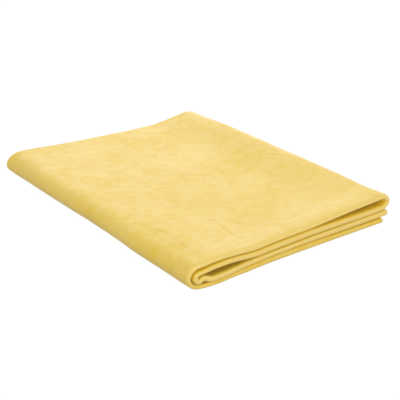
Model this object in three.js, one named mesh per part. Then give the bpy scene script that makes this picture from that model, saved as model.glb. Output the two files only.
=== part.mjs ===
// Synthetic chamois: one rectangular cut sheet, folded three times into a flat stack of eight plies.
// The first fold leaves its crease along the front, the second along the right, the third along the left.
// Millimetres, +Z up, +Y from the front crease to the cut back edges, origin under the middle of the stack.
import * as THREE from "three";

// The folded stack
const FOLDED_WIDTH = 153;
const FOLDED_LENGTH = 205;
const CLOTH = 1.25;
const PLY_GAP = 0.25;
const SEAM = 0.3;

// Raw right ends of the two lower leaves, short of the right turn
const OUTER_SETBACK = 4.9;
const INNER_SETBACK = 1.0;

// Cut back edges: the first fold was not quite square, so they run forward towards the right
const BACK_SKEW = 8.5;
const LINING_STEP = 2.2;

// The first fold is round and soft, so each leaf is thicker along the front
const SWELL_OUTER_LOWER = 0.3;
const SWELL_INNER_LOWER = 0.42;
const SWELL_INNER_UPPER = 0.5;
const SWELL_OUTER_UPPER = 0.4;
const SWELL_REACH = 15;

// The left side stands up: a slit between the two inner leaves, and slack in the outer turn
const LEFT_SLIT = 1.7;
const LEFT_SLIT_REACH = 45;
const LEFT_SLACK = 1.9;
const LEFT_START = -66;
const LEFT_END = -8;
const NEST_GAP = 1.0;

// The right turn is a fat loop, so the top leaf rises towards it
const RIGHT_RISE = 5.9;
const RIGHT_RISE_FRONT = 3.5;
const RIGHT_START = 25;
const RIGHT_START_FRONT = 9;
const RIGHT_REACH = 40;

const SHEET_COLOR = 0xf0d384;
const EDGE_COLOR = 0xe3c267;

const FRONT = -FOLDED_LENGTH / 2;
const LEFT = -FOLDED_WIDTH / 2;
const RIGHT = FOLDED_WIDTH / 2;
const WIDTH_SCALE = FOLDED_WIDTH / 153;

function smooth(from, to, value) {
  const t = Math.min(1, Math.max(0, (value - from) / (to - from)));
  return t * t * (3 - 2 * t);
}

function lerp(a, b, t) {
  return a + (b - a) * t;
}

function nearFront(y, reach) {
  const d = Math.max(0, y - FRONT) / reach;
  return Math.exp(-d * d);
}

// Half the distance between the two plies of a leaf, centre to centre
function halfLeaf(swell, y) {
  return (CLOTH + PLY_GAP) / 2 + swell * nearFront(y, SWELL_REACH);
}

// How far the two inner leaves part near the left turn
function leftSlit(x, y) {
  const opening = LEFT_SLIT * lerp(0.35, 1, nearFront(y, LEFT_SLIT_REACH));
  const mouth = lerp(0.2, 1, smooth(-68 * WIDTH_SCALE, -51 * WIDTH_SCALE, x));
  return opening * mouth * (1 - smooth(-50 * WIDTH_SCALE, -28 * WIDTH_SCALE, x));
}

// How far the top leaf stands above the leaf below it near the left turn
function leftLift(x, y) {
  const front = nearFront(y, LEFT_SLIT_REACH);
  const opening = LEFT_SLIT * lerp(0.35, 1, front);
  const held = opening * (1 - smooth(-50 * WIDTH_SCALE, -28 * WIDTH_SCALE, x));
  const slack = LEFT_SLACK * (1 - front) * (1 - smooth(LEFT_START * WIDTH_SCALE, LEFT_END * WIDTH_SCALE, x));
  return held + slack - leftSlit(x, y);
}

// How far the top leaf rises towards the right turn
function rightLift(x, y) {
  const front = nearFront(y, RIGHT_REACH);
  const start = lerp(RIGHT_START, RIGHT_START_FRONT, front) * WIDTH_SCALE;
  const end = RIGHT - 5;
  const t = Math.min(1, Math.max(0, (x - start) / (end - start)));
  return lerp(RIGHT_RISE, RIGHT_RISE_FRONT, front) * smooth(0, 1, Math.pow(t, lerp(1.5, 0.75, front)));
}

// The four leaves from the bottom up. Each gives its middle height and its half-distance between plies.
function outerLower(x, y) {
  const swell = SWELL_OUTER_LOWER * smooth(-60 * WIDTH_SCALE, -10 * WIDTH_SCALE, x);
  const half = halfLeaf(swell, y);
  return { z: CLOTH / 2 + half, half };
}

function innerLower(x, y) {
  const below = outerLower(x, y);
  const half = halfLeaf(SWELL_INNER_LOWER, y);
  return { z: below.z + below.half + half + CLOTH + PLY_GAP, half };
}

function innerUpper(x, y) {
  const below = innerLower(x, y);
  const half = halfLeaf(SWELL_INNER_UPPER, y);
  return { z: below.z + below.half + half + CLOTH + PLY_GAP + leftSlit(x, y), half };
}

function outerUpper(x, y) {
  const below = innerUpper(x, y);
  const half = halfLeaf(SWELL_OUTER_UPPER, y);
  return { z: below.z + below.half + half + CLOTH + PLY_GAP + leftLift(x, y) + rightLift(x, y), half };
}

// The three turns across the stack. Each is half an ellipse between the ends of two leaves.
function turnBetween(lowerLeaf, upperLeaf, x, y, roundness) {
  const low = lowerLeaf(x, y);
  const high = upperLeaf(x, y);
  const rise = (high.z - low.z) / 2;
  return { low, high, middle: (high.z + low.z) / 2, rise, depth: rise * roundness, half: (low.half + high.half) / 2 };
}

function outerLeftTurn(y) {
  const guess = turnBetween(outerLower, outerUpper, LEFT + 7, y, 0.85);
  const x = LEFT + guess.half + CLOTH / 2 + guess.depth;
  return { x, side: -1, ...turnBetween(outerLower, outerUpper, x, y, 0.85) };
}

function innerLeftTurn(y) {
  const outer = outerLeftTurn(y);
  const guess = turnBetween(innerLower, innerUpper, LEFT + 8, y, 1);
  const x = LEFT + 2 * outer.half + CLOTH + NEST_GAP + guess.half + CLOTH / 2 + guess.depth;
  return { x, side: -1, ...turnBetween(innerLower, innerUpper, x, y, 1) };
}

function rightTurn(y) {
  const guess = turnBetween(innerUpper, outerUpper, RIGHT - 6, y, 0.85);
  const x = RIGHT - guess.half - CLOTH / 2 - guess.depth;
  return { x, side: 1, ...turnBetween(innerUpper, outerUpper, x, y, 0.85) };
}

// How far each ply stops short of the rearmost cut edge, at the eight leaf ends along the strip.
// The grid lines of all plies agree up to the trim, which only the last row takes up.
const SKEW_SHARE = [0.45, 0.2, 0, 1, 1.05, 0.75, 0.7, 0.95];
const TRIM_START = 0.65;

function backEdge(lining, end) {
  const low = Math.floor(end);
  const share = lerp(SKEW_SHARE[low], SKEW_SHARE[Math.min(7, low + 1)], end - low);
  return -FRONT - BACK_SKEW * share - (lining ? LINING_STEP : 0);
}

// One sheet position: s runs from the lining's cut edge (-2) to its crease (-1), round the front crease to +1,
// and on to the face's cut edge (+2). It gives Y and the offset across the leaf as a share of its half-distance.
function acrossSheet(s, end, half) {
  const depth = half;
  if (Math.abs(s) <= 1) {
    const angle = (s * Math.PI) / 2;
    return { y: FRONT + CLOTH / 2 + depth * (1 - Math.cos(angle)), share: Math.sin(angle) };
  }
  const start = FRONT + CLOTH / 2 + depth;
  const t = Math.abs(s) - 1;
  const y = lerp(start, -FRONT, Math.min(t, TRIM_START));
  const trim = Math.max(0, (t - TRIM_START) / (1 - TRIM_START));
  return { y: lerp(y, backEdge(s < 0, end), trim), share: Math.sign(s) };
}

// Leaf point: x along the leaf, s across the sheet. The sign says which way the sheet's face looks.
function leafPoint(leaf, faceSign, endLeft, endRight, xLeft, xRight) {
  return (t, s) => {
    const frontHalf = leaf(lerp(-60, 60, t), FRONT).half;
    const at = acrossSheet(s, lerp(endLeft, endRight, t), frontHalf);
    const x = lerp(xLeft(at.y), xRight(at.y), t);
    const { z, half } = leaf(x, at.y);
    return new THREE.Vector3(x, at.y, z + faceSign * at.share * half);
  };
}

// Turn point: t runs from the lower leaf round to the upper leaf, s across the sheet
function turnPoint(turn, faceSign, endLow, endHigh) {
  return (t, s) => {
    const frontTurn = turn(FRONT);
    const at = acrossSheet(s, lerp(endLow, endHigh, t), lerp(frontTurn.low.half, frontTurn.high.half, t));
    const { x, side, low, high, middle, rise, depth } = turn(at.y);
    const angle = Math.PI * t;
    const out = faceSign * at.share * lerp(low.half, high.half, t);
    const normal = new THREE.Vector2(Math.sin(angle) / depth, -Math.cos(angle) / rise).normalize();
    const px = depth * Math.sin(angle) + normal.x * out;
    const pz = -rise * Math.cos(angle) + normal.y * out;
    return new THREE.Vector3(x + side * px, at.y, middle + pz);
  };
}

// A closed piece of cloth: the middle surface is pushed out by half the cloth to both sides and rimmed.
// Cells are cut along the same diagonal in both plies of a leaf, so the plies stay apart.
function clothPiece(name, ts, ss, point, color) {
  const step = 1e-4;
  const front = [];
  const back = [];
  for (const t of ts) {
    for (const s of ss) {
      const middle = point(t, s);
      const t0 = Math.max(0, t - step);
      const t1 = Math.min(1, t + step);
      const along = point(t1, s).sub(point(t0, s));
      const inner = Math.abs(s) > 1 ? Math.sign(s) : 0;
      const s0 = inner > 0 ? Math.max(1, s - step) : Math.max(-2, s - step);
      const s1 = inner < 0 ? Math.min(-1, s + step) : Math.min(2, s + step);
      const across = point(t, s1).sub(point(t, s0));
      const normal = along.cross(across).normalize().multiplyScalar(CLOTH / 2);
      front.push(middle.clone().add(normal));
      back.push(middle.clone().sub(normal));
    }
  }
  const points = front.concat(back);
  const index = [];
  const columns = ss.length;
  const offset = front.length;
  const quad = (a, b, c, d) => index.push(a, b, c, a, c, d);
  for (let i = 0; i + 1 < ts.length; i += 1) {
    for (let j = 0; j + 1 < columns; j += 1) {
      const a = i * columns + j;
      const b = a + columns;
      if (ss[j] + ss[j + 1] < 0) {
        quad(b, b + 1, a + 1, a);
        quad(offset + b, offset + a, offset + a + 1, offset + b + 1);
      } else {
        quad(a, b, b + 1, a + 1);
        quad(offset + a, offset + a + 1, offset + b + 1, offset + b);
      }
    }
  }
  for (let i = 0; i + 1 < ts.length; i += 1) {
    const a = i * columns;
    const b = a + columns;
    quad(a, offset + a, offset + b, b);
    quad(b + columns - 1, offset + b + columns - 1, offset + a + columns - 1, a + columns - 1);
  }
  for (let j = 0; j + 1 < columns; j += 1) {
    const a = j;
    const b = (ts.length - 1) * columns + j;
    quad(a + 1, offset + a + 1, offset + a, a);
    quad(b, offset + b, offset + b + 1, b + 1);
  }
  const geometry = new THREE.BufferGeometry();
  geometry.setAttribute("position", new THREE.Float32BufferAttribute(points.flatMap((p) => [p.x, p.y, p.z]), 3));
  geometry.setIndex(index);
  geometry.computeVertexNormals();
  const mesh = new THREE.Mesh(geometry, new THREE.MeshStandardMaterial({ color, roughness: 0.95, metalness: 0 }));
  mesh.name = name;
  return mesh;
}

// Grid lines. Along a leaf they crowd where the leaf bends; across the sheet they crowd at the front.
function leafLines(gapLeft, gapRight) {
  const span = FOLDED_WIDTH - 14;
  const lines = [0.04, 0.1, 0.18, 0.28, 0.4, 0.54, 0.66, 0.75, 0.83, 0.9, 0.96];
  return [gapLeft / span, ...lines, 1 - gapRight / span];
}

function backLines(sign) {
  const seam = 1 + SEAM / 2 / FOLDED_LENGTH;
  const lines = [seam, 1.018, 1.04, 1.07, 1.12, 1.22, 1.4, 1.65, 2];
  return sign > 0 ? lines : lines.map((v) => -v).reverse();
}

function creaseLines() {
  const seam = SEAM / 2 / (CLOTH + PLY_GAP);
  return [-1 + seam, -0.5, 0, 0.5, 1 - seam];
}

function turnLines(arc) {
  const seam = SEAM / 2 / arc;
  return [seam, 0.125, 0.25, 0.375, 0.5, 0.625, 0.75, 0.875, 1 - seam];
}

const outerEnd = () => RIGHT - OUTER_SETBACK;
const innerEnd = () => RIGHT - INNER_SETBACK;
const outerTurnX = (y) => outerLeftTurn(y).x;
const innerTurnX = (y) => innerLeftTurn(y).x;
const rightTurnX = (y) => rightTurn(y).x;

// Leaf ends along the strip: 0 outer lower right, 1 outer lower left, 2 outer upper left, 3 outer upper right,
// 4 inner upper right, 5 inner upper left, 6 inner lower left, 7 inner lower right
const LEAVES = [
  { name: "outer_lower", leaf: outerLower, face: -1, ends: [1, 0], xs: [outerTurnX, outerEnd], raw: true },
  { name: "inner_lower", leaf: innerLower, face: 1, ends: [6, 7], xs: [innerTurnX, innerEnd], raw: true },
  { name: "inner_upper", leaf: innerUpper, face: -1, ends: [5, 4], xs: [innerTurnX, rightTurnX], raw: false },
  { name: "outer_upper", leaf: outerUpper, face: 1, ends: [2, 3], xs: [outerTurnX, rightTurnX], raw: false },
];

const TURNS = [
  { name: "outer_left_turn", turn: outerLeftTurn, face: 1, ends: [1, 2], arc: 17 },
  { name: "inner_left_turn", turn: innerLeftTurn, face: -1, ends: [6, 5], arc: 5 },
  { name: "right_turn", turn: rightTurn, face: 1, ends: [4, 3], arc: 11 },
];

const chamois = new THREE.Group();
chamois.name = "synthetic_chamois";
for (const { name, leaf, face, ends, xs, raw } of LEAVES) {
  const point = leafPoint(leaf, face, ends[0], ends[1], xs[0], xs[1]);
  const lines = leafLines(SEAM / 2, raw ? 0 : SEAM / 2);
  chamois.add(clothPiece(`${name}_face_panel`, lines, backLines(1), point, SHEET_COLOR));
  chamois.add(clothPiece(`${name}_lining_panel`, lines, backLines(-1), point, SHEET_COLOR));
  chamois.add(clothPiece(`${name}_front_crease`, lines, creaseLines(), point, EDGE_COLOR));
}
for (const { name, turn, face, ends, arc } of TURNS) {
  const across = [...backLines(-1).slice(0, -1), -1, -0.5, 0, 0.5, 1, ...backLines(1).slice(1)];
  chamois.add(clothPiece(name, turnLines(arc), across, turnPoint(turn, face, ends[0], ends[1]), EDGE_COLOR));
}

export default chamois;
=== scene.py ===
import math

import bmesh
import bpy
import numpy as np
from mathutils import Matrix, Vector, noise


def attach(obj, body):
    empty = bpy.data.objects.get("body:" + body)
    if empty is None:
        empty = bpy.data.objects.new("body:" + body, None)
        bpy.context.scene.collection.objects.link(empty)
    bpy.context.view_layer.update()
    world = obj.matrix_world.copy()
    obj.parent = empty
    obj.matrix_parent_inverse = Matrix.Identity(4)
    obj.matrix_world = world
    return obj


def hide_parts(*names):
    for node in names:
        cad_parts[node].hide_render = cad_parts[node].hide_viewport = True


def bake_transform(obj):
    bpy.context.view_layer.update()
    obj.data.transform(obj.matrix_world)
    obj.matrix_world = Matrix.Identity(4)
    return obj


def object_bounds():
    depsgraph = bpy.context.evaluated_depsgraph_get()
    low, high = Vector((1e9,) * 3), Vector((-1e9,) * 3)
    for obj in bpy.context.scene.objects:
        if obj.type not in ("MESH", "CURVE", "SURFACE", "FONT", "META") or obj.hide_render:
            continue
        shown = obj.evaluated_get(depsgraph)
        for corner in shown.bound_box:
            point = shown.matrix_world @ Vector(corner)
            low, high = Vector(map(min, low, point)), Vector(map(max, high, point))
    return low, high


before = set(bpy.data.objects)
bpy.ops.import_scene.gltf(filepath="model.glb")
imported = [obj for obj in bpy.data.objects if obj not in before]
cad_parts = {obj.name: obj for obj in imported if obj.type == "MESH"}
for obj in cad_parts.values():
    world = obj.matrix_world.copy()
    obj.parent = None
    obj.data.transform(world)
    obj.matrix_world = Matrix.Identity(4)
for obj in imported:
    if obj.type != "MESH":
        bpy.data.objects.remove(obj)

cad_low, cad_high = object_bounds()


# Camera: a long lens in front of the stack's left corner, a little above it.
# It stands where the photograph's edges meet the folded sheet's edges.
VIEW_AZIMUTH = math.radians(-37.40)
VIEW_ELEVATION = math.radians(24.34)
CAMERA_PLACE = Vector((-0.3528, -0.4733, 0.2642))
LENS_MM = 90.76

towards_camera = Vector((
    math.sin(VIEW_AZIMUTH) * math.cos(VIEW_ELEVATION),
    -math.cos(VIEW_AZIMUTH) * math.cos(VIEW_ELEVATION),
    math.sin(VIEW_ELEVATION),
))
camera_data = bpy.data.cameras.new("photo_camera")
camera_data.lens = LENS_MM
camera_data.sensor_width = 36.0
camera_data.clip_end = 20.0
camera = bpy.data.objects.new("photo_camera", camera_data)
camera.location = CAMERA_PLACE
camera.rotation_euler = towards_camera.to_track_quat("Z", "Y").to_euler()
bpy.context.scene.collection.objects.link(camera)
bpy.context.scene.camera = camera
bpy.context.scene.view_settings.view_transform = "Standard"


# Studio: a white sweep in an even white room, with one soft box behind and one fill in front.
# To the camera the sweep and the room show as plain white, and the sweep keeps a faint shadow.
WHITE = (1.0, 1.0, 1.0, 1.0)
ROOM_LIGHT = 0.71
SOFT_BOX_PLACE, SOFT_BOX_SIZE, SOFT_BOX_WATTS = (0.72, 0.94, 0.56), (1.0, 0.6), 7.6
FRONT_FILL_PLACE, FRONT_FILL_SIZE, FRONT_FILL_WATTS = (-0.5, -1.05, 0.5), (1.0, 0.7), 5.0
SWEEP_HALF_SIZE = 3.0
SWEEP_DROP = 0.0003
SWEEP_GREY = (0.62, 0.62, 0.62, 1.0)
SWEEP_GLOW = 1.09
SWEEP_SHADOW_SHARE = 0.11


def shown_white(nodes, links):
    """Light Path output that is 1 where a surface is seen directly, mirrored or through glass."""
    path = nodes.new("ShaderNodeLightPath")
    seen = path.outputs["Is Camera Ray"]
    for ray in ("Is Glossy Ray", "Is Transmission Ray"):
        either = nodes.new("ShaderNodeMath")
        either.operation = "MAXIMUM"
        links.new(seen, either.inputs[0])
        links.new(path.outputs[ray], either.inputs[1])
        seen = either.outputs["Value"]
    return seen


room = bpy.data.worlds.new("white_room")
room.use_nodes = True
bpy.context.scene.world = room
nodes, links = room.node_tree.nodes, room.node_tree.links
nodes.clear()
lit_room = nodes.new("ShaderNodeBackground")
lit_room.inputs["Color"].default_value = WHITE
lit_room.inputs["Strength"].default_value = ROOM_LIGHT
white_room = nodes.new("ShaderNodeBackground")
white_room.inputs["Color"].default_value = WHITE
white_room.inputs["Strength"].default_value = 1.0
room_mix = nodes.new("ShaderNodeMixShader")
room_out = nodes.new("ShaderNodeOutputWorld")
links.new(shown_white(nodes, links), room_mix.inputs["Fac"])
links.new(lit_room.outputs["Background"], room_mix.inputs[1])
links.new(white_room.outputs["Background"], room_mix.inputs[2])
links.new(room_mix.outputs["Shader"], room_out.inputs["Surface"])


def soft_light(name, place, size, watts):
    """A soft lamp that faces the middle of the sweep."""
    data = bpy.data.lights.new(name, "AREA")
    data.shape = "RECTANGLE"
    data.size, data.size_y = size
    data.energy = watts
    light = bpy.data.objects.new(name, data)
    light.location = place
    light.rotation_euler = Vector(place).to_track_quat("Z", "Y").to_euler()
    bpy.context.scene.collection.objects.link(light)


soft_light("soft_box", SOFT_BOX_PLACE, SOFT_BOX_SIZE, SOFT_BOX_WATTS)
soft_light("front_fill", FRONT_FILL_PLACE, FRONT_FILL_SIZE, FRONT_FILL_WATTS)

sweep_white = bpy.data.materials.new("white_sweep")
sweep_white.use_nodes = True
nodes, links = sweep_white.node_tree.nodes, sweep_white.node_tree.links
nodes.clear()
share = nodes.new("ShaderNodeMath")
share.operation = "MULTIPLY"
share.inputs[1].default_value = 1.0 - SWEEP_SHADOW_SHARE
matt_white = nodes.new("ShaderNodeBsdfDiffuse")
matt_white.inputs["Color"].default_value = SWEEP_GREY
plain_white = nodes.new("ShaderNodeEmission")
plain_white.inputs["Strength"].default_value = SWEEP_GLOW
sweep_mix = nodes.new("ShaderNodeMixShader")
sweep_out = nodes.new("ShaderNodeOutputMaterial")
links.new(shown_white(nodes, links), share.inputs[0])
links.new(share.outputs["Value"], sweep_mix.inputs["Fac"])
links.new(matt_white.outputs["BSDF"], sweep_mix.inputs[1])
links.new(plain_white.outputs["Emission"], sweep_mix.inputs[2])
links.new(sweep_mix.outputs["Shader"], sweep_out.inputs["Surface"])

shape = bmesh.new()
bmesh.ops.create_grid(shape, x_segments=1, y_segments=1, size=SWEEP_HALF_SIZE)
bmesh.ops.translate(shape, verts=shape.verts[:], vec=(0, 0, cad_low.z - SWEEP_DROP))
sweep_mesh = bpy.data.meshes.new("sweep")
shape.to_mesh(sweep_mesh)
shape.free()
sweep_mesh.materials.append(sweep_white)
sweep = bpy.data.objects.new("sweep", sweep_mesh)
bpy.context.scene.collection.objects.link(sweep)


# The sheet: one cut of soft yellow nonwoven, needled from fine fibres and brushed to a short nap.
# It is folded in half with the crease along the front, then in half twice more across the strip,
# so four doubled leaves lie on each other: outer lower, inner lower, inner upper and outer upper.
MM = 0.001
CLOTH = 1.3
AIR = 0.2
LEFT, RIGHT = cad_low.x / MM, cad_high.x / MM
FRONT, BACK = cad_low.y / MM, cad_high.y / MM
MIDDLE = (FRONT + BACK) / 2
SWELL_REACH = 15.0


def smooth(start, end, value):
    """0 before start, 1 after end, and an even S-curve between them."""
    t = np.clip((value - start) / (end - start), 0.0, 1.0)
    return t * t * (3 - 2 * t)


def mix(a, b, t):
    return a + (b - a) * t


def through(value, stations, heights):
    """A smooth curve through the heights at the stations, level at both ends and never past a height."""
    stations, heights = np.array(stations, float), np.array(heights, float)
    steps = np.diff(stations)
    pitch = np.diff(heights) / steps
    slope = np.zeros_like(heights)
    product = pitch[:-1] * pitch[1:]
    slope[1:-1] = np.where(product > 0, 2 * product / np.where(product > 0, pitch[:-1] + pitch[1:], 1), 0)
    k = np.clip(np.searchsorted(stations, value) - 1, 0, len(steps) - 1)
    t = np.clip((value - stations[k]) / steps[k], 0.0, 1.0)
    rest = 1 - t
    return (
        heights[k] * (1 + 2 * t) * rest * rest + heights[k + 1] * t * t * (3 - 2 * t)
        + steps[k] * t * rest * (slope[k] * rest - slope[k + 1] * t)
    )


def near_front(y, reach):
    """1 along the front of the stack, fading away behind it."""
    return np.exp(-(np.maximum(y - FRONT, 0.0) / reach) ** 2)


def half_leaf(x, y, stations, swells):
    """Half the distance between a leaf's two plies: wider along the front, where the first fold is round."""
    return (CLOTH + AIR) / 2 + through(x, stations, swells) * near_front(y, SWELL_REACH)


SLIT_REACH = 75.0
SLIT_BACK_SHARE = 0.4
LOOP_SLIT = 0.8


def slit(x, y):
    """How far the two inner leaves part beside their loop."""
    mouth = through(
        x, [-70, -66, -59, -53, -48, -43, -36, -27],
        [0.9, 1.35, 2.2, 2.0, 1.62, 1.08, 0.02, -LOOP_SLIT],
    )
    return np.maximum(0.0, LOOP_SLIT + mouth * mix(SLIT_BACK_SHARE, 1.0, near_front(y, SLIT_REACH)))


HUMP_START, HUMP_CREST, HUMP_END = -69.5, -66.0, -61.0
HUMP_HEIGHT = 1.4
HUMP_REACH = 18.0


def hump(x, y):
    """The inner lower leaf buckles up beside its loop, at the front only."""
    buckle = smooth(HUMP_START, HUMP_CREST, x) * (1 - smooth(HUMP_CREST, HUMP_END, x))
    return HUMP_HEIGHT * buckle * near_front(y, HUMP_REACH)


DIP_START = 3.5


def slit_dip(x, y):
    """How far the inner lower leaf sinks behind its front crease, under the slit."""
    depth = through(x, [-68, -60, -44, -34], [0.0, 0.34, 0.28, 0.0])
    return depth * (near_front(y, SWELL_REACH) - near_front(y, DIP_START))


def left_rise(x, y):
    """How far the top leaf stands up over the slit and in the slack of the outer turn."""
    over_slit = through(x, [-76, -66, -59, -53, -44, -28], [1.75, 2.45, 3.05, 2.8, 1.85, 0.0])
    slack = through(x, [-68, -50, -36, -20, 0, 22], [2.85, 2.05, 1.3, 0.65, 0.35, 0.0])
    return mix(slack, over_slit, near_front(y, SLIT_REACH))


RIGHT_RISE, RIGHT_RISE_FRONT, RIGHT_RISE_BACK = 6.3, 3.4, 4.9
CLIMB_START, CLIMB_START_FRONT = 25.0, 9.0
CLIMB_END = RIGHT - 5.0
CLIMB_CURVE, CLIMB_CURVE_FRONT = 1.5, 0.75
FRONT_REACH = 40.0
CORNER_REACH = 25.0
BACK_QUARTER, BACK_CORNER = 50.0, 95.0


def right_rise(x, y):
    """How far the top leaf climbs to the fat right turn: less at both ends, and sooner along the front."""
    front = near_front(y, FRONT_REACH)
    start = mix(CLIMB_START, CLIMB_START_FRONT, front)
    t = np.clip((x - start) / (CLIMB_END - start), 0.0, 1.0)
    height = mix(RIGHT_RISE, RIGHT_RISE_BACK, smooth(BACK_QUARTER, BACK_CORNER, y))
    height = mix(height, RIGHT_RISE_FRONT, near_front(y, CORNER_REACH))
    return height * smooth(0.0, 1.0, t ** mix(CLIMB_CURVE, CLIMB_CURVE_FRONT, front))


# How much rounder each leaf is along the front, from the lowest up: stations in X, half-heights there.
SWELLS = {
    "outer_lower": ([-60, -5, 12, 39, 69], [0.0, 0.72, 0.62, 0.28, 0.1]),
    "inner_lower": ([-55, -5, 12, 39, 69], [0.34, 0.1, 0.34, 0.52, 0.52]),
    "inner_upper": ([-64, -50, -5, 12, 39, 69], [0.02, 0.25, 0.7, 0.6, 0.42, 0.36]),
    "outer_upper": ([-60, 60], [0.36, 0.4]),
}


def leaf(name, x, y):
    """Middle height of one leaf on the leaves below it, and the half-distance between its plies."""
    z, below = -CLOTH / 2 - AIR, 0.0
    for layer, (stations, swells) in SWELLS.items():
        half = half_leaf(x, y, stations, swells)
        z = z + below + half + CLOTH + AIR
        if layer == name:
            break
        below = half
    if name == "inner_lower":
        dip = slit_dip(x, y)
        return z + hump(x, y) - dip, half - dip
    if name == "inner_upper":
        return z + slit(x, y), half
    if name == "outer_upper":
        return z + left_rise(x, y) + right_rise(x, y), half
    return z, half


def slack_turn(y):
    """1 along the middle of the outer left turn, where it sags outwards at its upper half; 0 at its ends."""
    return smooth(BACK_CORNER, BACK_QUARTER, y) * (1 - near_front(y, FRONT_REACH))


def spine_wander(y):
    """How far the outer left turn steps in or out along its length."""
    return through(
        y, [-97, -85, -70, -50, -34, -18, 2, 28, 52, 90],
        [0.0, 0.0, -0.2, -0.4, 0.3, 0.7, 0.7, 0.2, 0.1, 0.0],
    )


TURN_TUCK = 0.35
SPINE_ROUNDNESS, SPINE_ROUNDNESS_SLACK, SPINE_ROUNDNESS_FRONT = 1.6, 1.35, 1.0
RIGHT_ROUNDNESS, RIGHT_ROUNDNESS_BACK = 1.5, 2.2
ROUNDER_FROM = 40.0
LOOP_ROUNDNESS = 1.0
LOOP_NEST, LOOP_NEST_FRONT = 1.5, 0.3
NEST_REACH = 30.0
SPINE_SAG = 0.75
SPINE_SAG_TILT = 0.15
SETTLING_ROUNDS = 3


def roundness(name, y):
    """Depth of a turn as a share of its rise."""
    if name == "inner_left_turn":
        return LOOP_ROUNDNESS
    if name == "right_turn":
        return mix(RIGHT_ROUNDNESS, RIGHT_ROUNDNESS_BACK, smooth(ROUNDER_FROM, BACK_CORNER, y))
    spine = mix(SPINE_ROUNDNESS, SPINE_ROUNDNESS_SLACK, slack_turn(y))
    return mix(spine, SPINE_ROUNDNESS_FRONT, near_front(y, CORNER_REACH))


def turn(name, y):
    """A turn's start in X, middle height, rise, depth, half-distances at its two ends, and thickness.

    The start depends on the rise there, so it is settled in a few rounds from a first guess.
    """
    lower, upper, first_guess = {
        "outer_left_turn": ("outer_lower", "outer_upper", LEFT + 9.0),
        "inner_left_turn": ("inner_lower", "inner_upper", LEFT + 7.0),
        "right_turn": ("inner_upper", "outer_upper", RIGHT - 6.0),
    }[name]
    x = np.full_like(y, first_guess)
    for settle in range(SETTLING_ROUNDS):
        low_z, low_half = leaf(lower, x, y)
        high_z, high_half = leaf(upper, x, y)
        rise = (high_z - low_z) / 2
        depth = rise * roundness(name, y)
        thick = (low_half + high_half) / 2 + CLOTH / 2
        if name == "outer_left_turn":
            x = LEFT + TURN_TUCK - SPINE_SAG * slack_turn(y) + spine_wander(y) + thick + depth
        elif name == "right_turn":
            x = RIGHT - thick - depth
        else:
            spine_thick = turn("outer_left_turn", y)[-1]
            nest = mix(LOOP_NEST, LOOP_NEST_FRONT, near_front(y, NEST_REACH))
            x = LEFT + TURN_TUCK + 2 * spine_thick + nest + thick + depth
    return x, (high_z + low_z) / 2, rise, depth, low_half, high_half, thick


# The doubled strip from end to end: its leaves, and its turns with the way that each one goes.
# Below, the outer left turn is the spine, the right turn is the bend and the inner left turn is the loop.
STRIP = [
    ("outer_lower", None),
    ("outer_left_turn", "up"),
    ("outer_upper", None),
    ("right_turn", "down"),
    ("inner_upper", None),
    ("inner_left_turn", "down"),
    ("inner_lower", None),
]
OUTER_SETBACK = 7.2
INNER_SETBACK = 2.5


def middle_line(part, t, y):
    """The leaf's middle line in one part of the strip: X, Z and the half-distance between plies."""
    name, way = STRIP[part]
    if way:
        x, z, rise, depth, low_half, high_half = turn(name, y)[:-1]
        if way == "down":
            t = 1 - t
        side = 1.0 if name == "right_turn" else -1.0
        angle = math.pi * t
        out = depth * np.sin(angle)
        if name == "outer_left_turn":
            out = out - SPINE_SAG_TILT * depth * slack_turn(y) * np.sin(2 * angle)
        return x + side * out, z - rise * np.cos(angle), mix(low_half, high_half, t)
    outer = turn("outer_left_turn", y)[0]
    if name == "outer_lower":
        x = mix(RIGHT - OUTER_SETBACK, outer, t)
    elif name == "outer_upper":
        x = mix(outer, turn("right_turn", y)[0], t)
    elif name == "inner_upper":
        x = mix(turn("right_turn", y)[0], turn("inner_left_turn", y)[0], t)
    else:
        x = mix(turn("inner_left_turn", y)[0], RIGHT - INNER_SETBACK, t)
    z, half = leaf(name, x, y)
    return x, z, half


def part_length(part):
    t = np.linspace(0, 1, 400)
    x, z, half = middle_line(part, t, np.full_like(t, MIDDLE))
    return float(np.hypot(np.diff(x), np.diff(z)).sum())


# Lengths of the seven parts, and the distances along the strip where each part starts and ends.
LENGTHS = [part_length(part) for part in range(len(STRIP))]
ENDS = np.concatenate([[0.0], np.cumsum(LENGTHS)])
SPINE_START, SPINE_END, BEND_START, BEND_END, LOOP_START, LOOP_END = ENDS[1:7]
SHEET_LENGTH = float(ENDS[-1])
HALF_WIDTH = BACK - FRONT

# The cut back edges run out of square: how far each ply stops short, at the eight ends of the leaves.
BACK_TRIM = np.array([3.8, 1.7, 0.0, 8.5, 8.9, 6.4, 6.0, 8.1])
LINING_TRIM = 2.2
# The front crease wanders: for each part of the strip, shares of its length and how far it draws back there.
FRONT_DRIFT = [
    [
        (0.0, -0.9), (0.2, -0.4), (0.5, 0.2), (0.66, 0.4), (0.78, 0.1), (0.84, 0.1), (0.9, -0.4),
        (0.94, -0.2), (0.98, 0.4),
    ],
    [(0.15, 1.7), (0.4, 2.0), (0.6, 1.7)],
    [(0.02, 0.5), (0.12, 0.0), (0.9, 0.0)],
    [(0.5, 0.5)],
    [(0.1, 0.1), (0.8, 0.0), (0.93, -0.6)],
    [(0.0, 0.1), (0.5, 0.4)],
    [(0.01, 0.1), (0.07, -1.3), (0.15, -0.8), (0.25, 0.0), (1.0, 0.0)],
]
DRIFT_STATIONS = [ENDS[part] + t * LENGTHS[part] for part, row in enumerate(FRONT_DRIFT) for t, drift in row]
DRIFTS = [drift for row in FRONT_DRIFT for t, drift in row]

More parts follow.
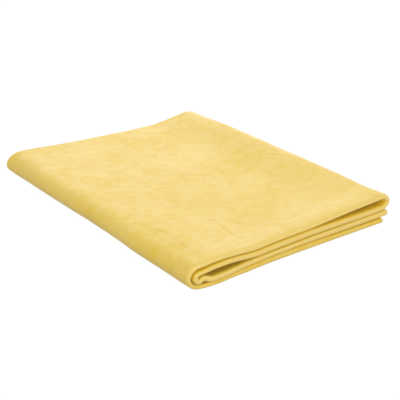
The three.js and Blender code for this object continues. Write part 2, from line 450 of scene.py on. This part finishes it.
CREASE_ARC = 1.8
TOP_RELIEF, SPINE_RELIEF, LOWEST_RELIEF = 0.2, 0.1, -0.1
# Soft lumps of the top (height, size, noise layer), and bulges of the left turn (height, size along the turn,
# size around it, noise layer).
LUMPS = [(0.11, 17, 3.1), (0.05, 7, 8.4), (0.025, 3, 1.7)]
BULGES = [(0.55, 19, 40, 5.2), (0.3, 8, 14, 9.7)]
# Crumple marks on the top: start and end, as distances right of the left turn and behind the front, then
# depth and width. Each mark has soft lips at both sides.
LIP_SHARE, LIP_AWAY = 0.5, 1.9
CRUMPLES = [
    (74.8, 108.9, 62.5, 97.8, 0.19, 0.96), (80.5, 99.2, 76.2, 87.2, 0.2, 0.96),
    (77.5, 88.9, 75.1, 78.2, 0.2, 0.96), (90.2, 99.8, 88.2, 93.4, 0.17, 0.96),
    (70.1, 87.0, 75.1, 78.2, 0.17, 0.96), (21.2, 95.6, 32.6, 96.2, 0.19, 1.04),
    (28.5, 86.3, 28.6, 86.0, 0.26, 1.28), (25.6, 173.4, 32.4, 165.5, 0.2, 1.04),
    (127.3, 98.3, 131.0, 89.9, 0.22, 1.12), (111.8, 75.4, 112.7, 64.4, 0.17, 1.04),
    (41.7, 44.5, 37.1, 19.3, 0.29, 1.04), (32.7, 11.8, 32.8, 11.5, 0.29, 1.28),
    (45.4, 100.9, 47.0, 92.5, 0.17, 0.96), (13.7, 39.5, 13.8, 39.2, 0.22, 1.2),
    (5.9, 45.5, 5.7, 24.0, 0.19, 1.28), (25.8, 116.9, 32.2, 119.9, 0.17, 0.96),
    (58.0, 127.0, 60.1, 121.1, 0.17, 0.96), (3.9, 99.3, -4.0, 95.8, 0.34, 1.28),
    (0.5, 62.9, -7.0, 60.0, 0.38, 1.28), (3.5, 62.2, -3.0, 58.0, 0.34, 1.28),
    (5.3, 24.4, -4.0, 14.3, 0.3, 1.44),
]


def crumple(u, v):
    """How far the top and the left turn stand out: lumps, slack bulges along the turn, pressed-in marks."""
    result = np.zeros_like(u)
    shown = (v > CREASE_ARC) & (u > SPINE_START) & (u < BEND_END)
    if not shown.any():
        return result
    along, across = u[shown] - SPINE_END, v[shown]
    spine, top, bend = LENGTHS[1:4]
    lumps = np.array([
        sum(height * noise.noise((a / size, b / size, layer)) for height, size, layer in LUMPS)
        for a, b in zip(along, across)
    ])
    bulges = np.array([
        sum(height * noise.noise((b / length, a / girth, layer)) for height, length, girth, layer in BULGES)
        for a, b in zip(along, across)
    ])
    on_spine = smooth(-spine * 0.8, -spine * 0.4, along) * (1 - smooth(-2, 9, along))
    relief = TOP_RELIEF + lumps + (bulges + SPINE_RELIEF) * on_spine
    for a0, b0, a1, b1, depth, width in CRUMPLES:
        reach = (a1 - a0) ** 2 + (b1 - b0) ** 2
        t = np.clip(((along - a0) * (a1 - a0) + (across - b0) * (b1 - b0)) / reach, 0, 1)
        away = np.hypot(along - a0 - t * (a1 - a0), across - b0 - t * (b1 - b0))
        lips = LIP_SHARE * np.exp(-((away - LIP_AWAY * width) / width) ** 2)
        relief += depth * (lips - np.exp(-(away / width) ** 2))
    fade = smooth(CREASE_ARC, 9, across) * smooth(-spine * 0.85, -spine * 0.45, along)
    fade *= 1 - smooth(top, top + bend * 0.6, along)
    result[shown] = np.maximum(relief, LOWEST_RELIEF) * fade
    return result


def strip_line(u, y):
    """The leaf's middle line at a distance u along the strip: X, Z and the half-distance between plies."""
    u = np.clip(u, 0.0, SHEET_LENGTH)
    x, z, half = np.zeros_like(u), np.zeros_like(u), np.zeros_like(u)
    for part in range(len(STRIP)):
        here = (u >= ENDS[part]) & (u <= ENDS[part + 1])
        if here.any():
            t = (u[here] - ENDS[part]) / LENGTHS[part]
            x[here], z[here], half[here] = middle_line(part, t, y[here])
    return x, z, half


TOP_CREASE_REACH = 1.5


def fold(flat):
    """Carries points of the flat sheet (along the strip, across it, through it) to the folded stack."""
    u, v, w = flat.T
    w = w + crumple(u, v)
    front_half = strip_line(u, np.full_like(u, FRONT))[2]
    on_top = smooth(SPINE_START, SPINE_END, u) * (1 - smooth(BEND_START, BEND_END, u))
    nose = front_half * (1 + TOP_CREASE_REACH * on_top)
    crease_y = FRONT + through(u, DRIFT_STATIONS, DRIFTS) + CLOTH / 2 + nose
    trim = np.interp(u, ENDS, BACK_TRIM) + np.where(v < 0, LINING_TRIM, 0.0)
    back = (np.abs(v) - CREASE_ARC) / (HALF_WIDTH - CREASE_ARC)
    angle = np.clip(v / CREASE_ARC, -1, 1) * math.pi / 2
    y_flat = crease_y + np.maximum(back, 0.0) * (BACK - trim - crease_y)
    y = np.where(back > 0, y_flat, crease_y - nose * np.cos(angle))
    x, z, half = strip_line(u, y)
    step = 0.05
    x0, z0 = strip_line(u - step, y)[:2]
    x1, z1 = strip_line(u + step, y)[:2]
    length = np.hypot(x1 - x0, z1 - z0)
    face_x, face_z = -(z1 - z0) / length, (x1 - x0) / length
    out = (half + w) * np.sin(angle)
    return np.stack([x + face_x * out, y - w * np.cos(angle), z + face_z * out], axis=1)


def lines(*stretches):
    """Grid lines through stretches of (start, end, spacing)."""
    result = [stretches[0][0]]
    for start, end, spacing in stretches:
        count = max(1, round(abs(end - start) / spacing))
        result.extend(start + (end - start) * (k + 1) / count for k in range(count))
    return np.array(result)


CUT_ROUNDING = 0.4
CREASE_SHOWN = 1.35


def cut_cloth(name, along, across, cut_start=False, cut_end=False):
    """A slab of flat cloth with rounded cut edges, then folded. Along and across are its grid lines.

    Faces between the leaves, behind the front crease, have the shaded copy of the material.
    """
    cloth = bmesh.new()
    bmesh.ops.create_grid(cloth, x_segments=len(along) - 1, y_segments=len(across) - 1, size=0.5)
    for vert in cloth.verts:
        vert.co.x = along[round((vert.co.x + 0.5) * (len(along) - 1))]
        vert.co.y = across[round((vert.co.y + 0.5) * (len(across) - 1))]
        vert.co.z = -CLOTH / 2
    raised = bmesh.ops.extrude_face_region(cloth, geom=cloth.faces[:])
    upper = [part for part in raised["geom"] if isinstance(part, bmesh.types.BMVert)]
    bmesh.ops.translate(cloth, verts=upper, vec=(0, 0, CLOTH))
    bmesh.ops.recalc_face_normals(cloth, faces=cloth.faces[:])
    near = 0.001
    rim = []
    for edge in cloth.edges:
        a, b = edge.verts[0].co, edge.verts[1].co
        if abs(a.z - b.z) > near:
            continue
        level_y, level_x = abs(a.y - b.y) < near, abs(a.x - b.x) < near
        at_back = level_y and (abs(a.y - across[0]) < near or abs(a.y - across[-1]) < near)
        at_start = level_x and abs(a.x - along[0]) < near
        at_end = level_x and abs(a.x - along[-1]) < near
        if at_back or (at_start and cut_start) or (at_end and cut_end):
            rim.append(edge)
    bmesh.ops.bevel(
        cloth, geom=rim, offset=CUT_ROUNDING, segments=2, profile=0.5,
        affect="EDGES", material=-1, clamp_overlap=True,
    )
    seams = [end for end, cut in ((along[0], cut_start), (along[-1], cut_end)) if not cut]
    for edge in cloth.edges:
        if any(max(abs(vert.co.x - end) for vert in edge.verts) < near for end in seams):
            edge.smooth = False
    flat = np.array([vert.co for vert in cloth.verts])
    sheet_uv = cloth.loops.layers.uv.new("sheet")
    for face in cloth.faces:
        face.smooth = True
        middle = face.calc_center_median()
        # Faces between the leaves take the shaded copy of the material: painted shade.
        tucked_in = middle.y < -CREASE_SHOWN or (middle.y > CREASE_SHOWN and middle.x > BEND_END)
        face.material_index = 1 if tucked_in else 0
        for loop in face.loops:
            loop[sheet_uv].uv = (loop.vert.co.x * MM, (loop.vert.co.y + HALF_WIDTH) * MM)
    for vert, place in zip(cloth.verts, fold(flat) * MM):
        vert.co = place
    mesh = bpy.data.meshes.new(name)
    cloth.to_mesh(mesh)
    cloth.free()
    mesh.materials.append(chamois)
    mesh.materials.append(shaded_chamois)
    piece = bpy.data.objects.new(name, mesh)
    bpy.context.scene.collection.objects.link(piece)
    return piece


NAP_SHEEN, NAP_SHEEN_ROUGHNESS, NAP_SHEEN_TINT = 0.25, 0.4, (1.0, 0.98, 0.9, 1.0)
chamois = bpy.data.materials.new("yellow_chamois")
chamois.use_nodes = True
nodes, links = chamois.node_tree.nodes, chamois.node_tree.links
skin = nodes["Principled BSDF"]
skin.inputs["Sheen Weight"].default_value = NAP_SHEEN
skin.inputs["Sheen Roughness"].default_value = NAP_SHEEN_ROUGHNESS
skin.inputs["Sheen Tint"].default_value = NAP_SHEEN_TINT
flat_place = nodes.new("ShaderNodeUVMap")
flat_place.uv_map = "sheet"


def fibre_noise(scale, detail, roughness):
    """Cloudy noise on the flat sheet, from 0 to 1."""
    texture = nodes.new("ShaderNodeTexNoise")
    texture.inputs["Scale"].default_value = scale
    texture.inputs["Detail"].default_value = detail
    texture.inputs["Roughness"].default_value = roughness
    links.new(flat_place.outputs["UV"], texture.inputs["Vector"])
    return texture


def spread(value, low, high, to_low, to_high):
    """An even S-curve from to_low, where the value is low, to to_high, where it is high."""
    reach = nodes.new("ShaderNodeMapRange")
    reach.interpolation_type = "SMOOTHSTEP"
    reach.inputs["From Min"].default_value = low
    reach.inputs["From Max"].default_value = high
    reach.inputs["To Min"].default_value = to_low
    reach.inputs["To Max"].default_value = to_high
    links.new(value, reach.inputs["Value"])
    return reach.outputs["Result"]


def put(value, socket):
    """Sets a socket to a plain value, or links it to an output."""
    if isinstance(value, (float, tuple)):
        socket.default_value = value
    else:
        links.new(value, socket)


def combine(operation, first, second):
    maths = nodes.new("ShaderNodeMath")
    maths.operation = operation
    put(first, maths.inputs[0])
    put(second, maths.inputs[1])
    return maths.outputs["Value"]


def colour_between(first, second, share):
    colours = nodes.new("ShaderNodeMixRGB")
    put(first, colours.inputs["Color1"])
    put(second, colours.inputs["Color2"])
    put(share, colours.inputs["Fac"])
    return colours.outputs["Color"]


def dent(height, depth, strength, under=None):
    """Fine relief on the surface, laid over the relief under it."""
    bump = nodes.new("ShaderNodeBump")
    bump.inputs["Strength"].default_value = strength
    bump.inputs["Distance"].default_value = depth
    links.new(height, bump.inputs["Height"])
    if under:
        links.new(under, bump.inputs["Normal"])
    return bump.outputs["Normal"]


def wrinkles(cells, width, patch_scale, patch_low, patch_high):
    """Broken lines of fine wrinkles: the borders of warped cells, shown only in patches."""
    warp = fibre_noise(cells * 0.8, 2.0, 0.5)
    shift = nodes.new("ShaderNodeVectorMath")
    shift.operation = "MULTIPLY_ADD"
    shift.inputs[1].default_value = (0.5 / cells, 0.5 / cells, 0.0)
    links.new(warp.outputs["Color"], shift.inputs[0])
    links.new(flat_place.outputs["UV"], shift.inputs[2])
    cell = nodes.new("ShaderNodeTexVoronoi")
    cell.feature = "DISTANCE_TO_EDGE"
    cell.inputs["Scale"].default_value = cells
    links.new(shift.outputs["Vector"], cell.inputs["Vector"])
    line = spread(cell.outputs["Distance"], 0.0, width, 1.0, 0.0)
    patchy = fibre_noise(patch_scale, 2.0, 0.5).outputs["Fac"]
    return combine("MULTIPLY", line, spread(patchy, patch_low, patch_high, 0.0, 1.0))


mottle = combine(
    "ADD",
    combine("MULTIPLY", fibre_noise(28.0, 3.0, 0.5).outputs["Fac"], 0.42),
    combine("MULTIPLY", fibre_noise(150.0, 4.0, 0.65).outputs["Fac"], 0.58),
)
nap = fibre_noise(850.0, 3.0, 0.6).outputs["Fac"]
lumps = fibre_noise(150.0, 3.0, 0.55).outputs["Fac"]
long_wrinkles = wrinkles(60.0, 0.04, 70.0, 0.55, 0.66)
short_wrinkles = wrinkles(150.0, 0.07, 90.0, 0.54, 0.66)
FULL_YELLOW, PALE_YELLOW = (0.824, 0.564, 0.053, 1), (0.837, 0.594, 0.115, 1)
tint = nodes.new("ShaderNodeValToRGB")
for stop, position, colour in zip(tint.color_ramp.elements, (0.36, 0.54), (FULL_YELLOW, PALE_YELLOW)):
    stop.position, stop.color = position, colour
# Along the wrinkle lines the yellow is a little deeper: painted shade in the wrinkles, beside their bumps.
painted_wrinkle_shade = combine("ADD", combine("MULTIPLY", long_wrinkles, 0.07), combine("MULTIPLY", short_wrinkles, 0.05))
fibres = combine("ADD", mottle, combine("MULTIPLY", nap, 0.08))
links.new(combine("SUBTRACT", fibres, painted_wrinkle_shade), tint.inputs["Fac"])

# The outer face and the front crease keep the mottled yellow, and from the left turn on the crease is paler:
# painted light on the front bands. Between the leaves the yellow is deeper: painted shade in the slits and
# gaps, less of it towards the open edges, and on the lining inside the right turn it is lighter: painted
# light in the gap there.
CREASE_LIGHT_YELLOW = (0.93, 0.69, 0.22, 1)
PAINTED_SHADE_LINING, PAINTED_LIGHT_LINING_IN_TURN = (0.77, 0.555, 0.03, 1), (0.91, 0.665, 0.035, 1)
PAINTED_SHADE_INNER_FACE = (0.75, 0.528, 0.027, 1)
PAINTED_SHADE_FADE_REACH = 50.0
flat_axes = nodes.new("ShaderNodeSeparateXYZ")
links.new(flat_place.outputs["UV"], flat_axes.inputs["Vector"])
along_strip, across_strip = flat_axes.outputs["X"], flat_axes.outputs["Y"]
from_crease = combine("ABSOLUTE", combine("SUBTRACT", across_strip, HALF_WIDTH * MM), 0.0)
crease = spread(from_crease, 0.6 * MM, 1.6 * MM, 1.0, 0.0)
unshaded_stretches = combine(
    "MAXIMUM",
    spread(along_strip, (BEND_END - 4.0) * MM, (BEND_END + PAINTED_SHADE_FADE_REACH) * MM, 1.0, 0.0),
    spread(along_strip, (SHEET_LENGTH - PAINTED_SHADE_FADE_REACH) * MM, SHEET_LENGTH * MM, 0.0, 1.0),
)
outer_face = combine(
    "MULTIPLY",
    spread(across_strip, (HALF_WIDTH - 1.5) * MM, (HALF_WIDTH + 0.2) * MM, 0.0, 1.0),
    unshaded_stretches,
)
unshaded_faces = combine("MAXIMUM", crease, outer_face)
# From the left turn on the front crease is paler: painted light on the front bands.
crease_light = combine("MULTIPLY", crease, spread(along_strip, SPINE_START * MM, SPINE_END * MM, 0.0, 0.6))
tint_with_crease_light = colour_between(tint.outputs["Color"], CREASE_LIGHT_YELLOW, crease_light)
from_turn = combine("ABSOLUTE", combine("SUBTRACT", along_strip, (BEND_START + BEND_END) / 2 * MM), 0.0)
in_turn = spread(from_turn, 30 * MM, 90 * MM, 1.0, 0.0)
# Inside the right turn the lining is lighter: painted light in the gap there.
lining = colour_between(PAINTED_SHADE_LINING, PAINTED_LIGHT_LINING_IN_TURN, in_turn)
on_face = spread(across_strip, (HALF_WIDTH - 1.0) * MM, (HALF_WIDTH + 1.0) * MM, 0.0, 1.0)
# Between the leaves the yellow is deeper: painted shade in the slits and gaps.
painted_shade_between_leaves = colour_between(lining, PAINTED_SHADE_INNER_FACE, on_face)
yellow_with_painted_light_and_shade = colour_between(painted_shade_between_leaves, tint_with_crease_light, spread(unshaded_faces, 0.0, 1.0, 0.3, 1.0))
links.new(yellow_with_painted_light_and_shade, skin.inputs["Base Color"])
links.new(spread(mottle, 0.35, 0.65, 0.72, 0.58), skin.inputs["Roughness"])
relief = dent(lumps, 0.0007, 0.14)
relief = dent(combine("MULTIPLY", long_wrinkles, -1.0), 0.0005, 0.3, relief)
relief = dent(combine("MULTIPLY", short_wrinkles, -1.0), 0.0003, 0.25, relief)
relief = dent(nap, 0.0002, 0.25, relief)
links.new(relief, skin.inputs["Normal"])

# Faces between the leaves get a copy of the cloth's material with hardly any sheen and a weak shine: a shaded
# copy, so the slits and gaps look like deep shade.
INNER_SHEEN, INNER_SHINE = 0.04, 0.2
shaded_chamois = chamois.copy()
shaded_chamois.name = "chamois_shaded_copy"
inner_skin = shaded_chamois.node_tree.nodes["Principled BSDF"]
inner_skin.inputs["Sheen Weight"].default_value = INNER_SHEEN
inner_skin.inputs["Specular IOR Level"].default_value = INNER_SHINE


# Outer lower leaf: the doubled end of the strip that the whole stack lies on.
# Its raw end is at the right, a little short of the loop above.
SEAM_INSET = 3.0
FINE_FRONT = 20.0
coarse_across = lines(
    (-HALF_WIDTH, -FINE_FRONT, 5.0), (-FINE_FRONT, -CREASE_ARC, 1.8), (-CREASE_ARC, CREASE_ARC, 0.3),
    (CREASE_ARC, FINE_FRONT, 1.1), (FINE_FRONT, HALF_WIDTH, 5.0),
)
outer_lower = cut_cloth(
    "outer_lower_leaf", lines((0.0, SPINE_START - SEAM_INSET, 2.0)), coarse_across, cut_start=True
)
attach(outer_lower, "lower_half")
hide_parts("outer_lower_face_panel", "outer_lower_lining_panel", "outer_lower_front_crease")


# Inner lower leaf: the other doubled end of the strip, lying on the outer lower leaf.
# It comes out of the tight loop at the left, buckles once and runs to its raw end at the right.
BUCKLED = 20.0
inner_lower = cut_cloth(
    "inner_lower_leaf",
    lines((LOOP_END, LOOP_END + BUCKLED, 0.6), (LOOP_END + BUCKLED, SHEET_LENGTH, 2.0)),
    coarse_across, cut_end=True,
)
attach(inner_lower, "lower_half")
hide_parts("inner_lower_face_panel", "inner_lower_lining_panel", "inner_lower_front_crease")


# Inner upper leaf: the doubled stretch between the tight loop at the left and the fat turn at the right.
# It lies on the inner lower leaf and lifts off it when the stack is opened like a book.
LOOP_INSET = 4.5
TURN_INSET = 4.0
LIFTED = 60.0
inner_upper = cut_cloth(
    "inner_upper_leaf",
    lines(
        (BEND_END + TURN_INSET, LOOP_START - LIFTED, 3.0),
        (LOOP_START - LIFTED, LOOP_START - LOOP_INSET, 1.2),
    ),
    coarse_across,
)
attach(inner_upper, "upper_half")
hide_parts("inner_upper_face_panel", "inner_upper_lining_panel", "inner_upper_front_crease")


# Top leaf: the doubled top of the stack and the fat turn along its right side, in one stretch.
# It is the side that was handled most, so it carries the crumple marks.
fine_across = lines(
    (-HALF_WIDTH, -FINE_FRONT, 5.0), (-FINE_FRONT, -CREASE_ARC, 1.8), (-CREASE_ARC, CREASE_ARC, 0.3),
    (CREASE_ARC, HALF_WIDTH, 1.1),
)
top_leaf = cut_cloth(
    "top_leaf",
    lines(
        (SPINE_END + SEAM_INSET, BEND_START, 1.1), (BEND_START, BEND_END, 0.8),
        (BEND_END, BEND_END + TURN_INSET, 1.0),
    ),
    fine_across,
)
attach(top_leaf, "upper_half")
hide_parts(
    "outer_upper_face_panel", "outer_upper_lining_panel", "outer_upper_front_crease", "right_turn"
)


# Outer left turn: the round left side of the stack, where the outer lower leaf bends up into the top.
# It is the spine of the opened stack.
outer_turn = cut_cloth(
    "outer_left_fold", lines((SPINE_START - SEAM_INSET, SPINE_END + SEAM_INSET, 0.7)), fine_across
)
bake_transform(outer_turn)
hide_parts("outer_left_turn")


# Inner left turn: the tight loop inside the outer one, where the inner leaves join.
# It leaves only a pinhole along its middle.
inner_turn = cut_cloth("inner_left_fold", lines((LOOP_START - LOOP_INSET, LOOP_END, 0.2)), coarse_across)
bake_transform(inner_turn)
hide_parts("inner_left_turn")
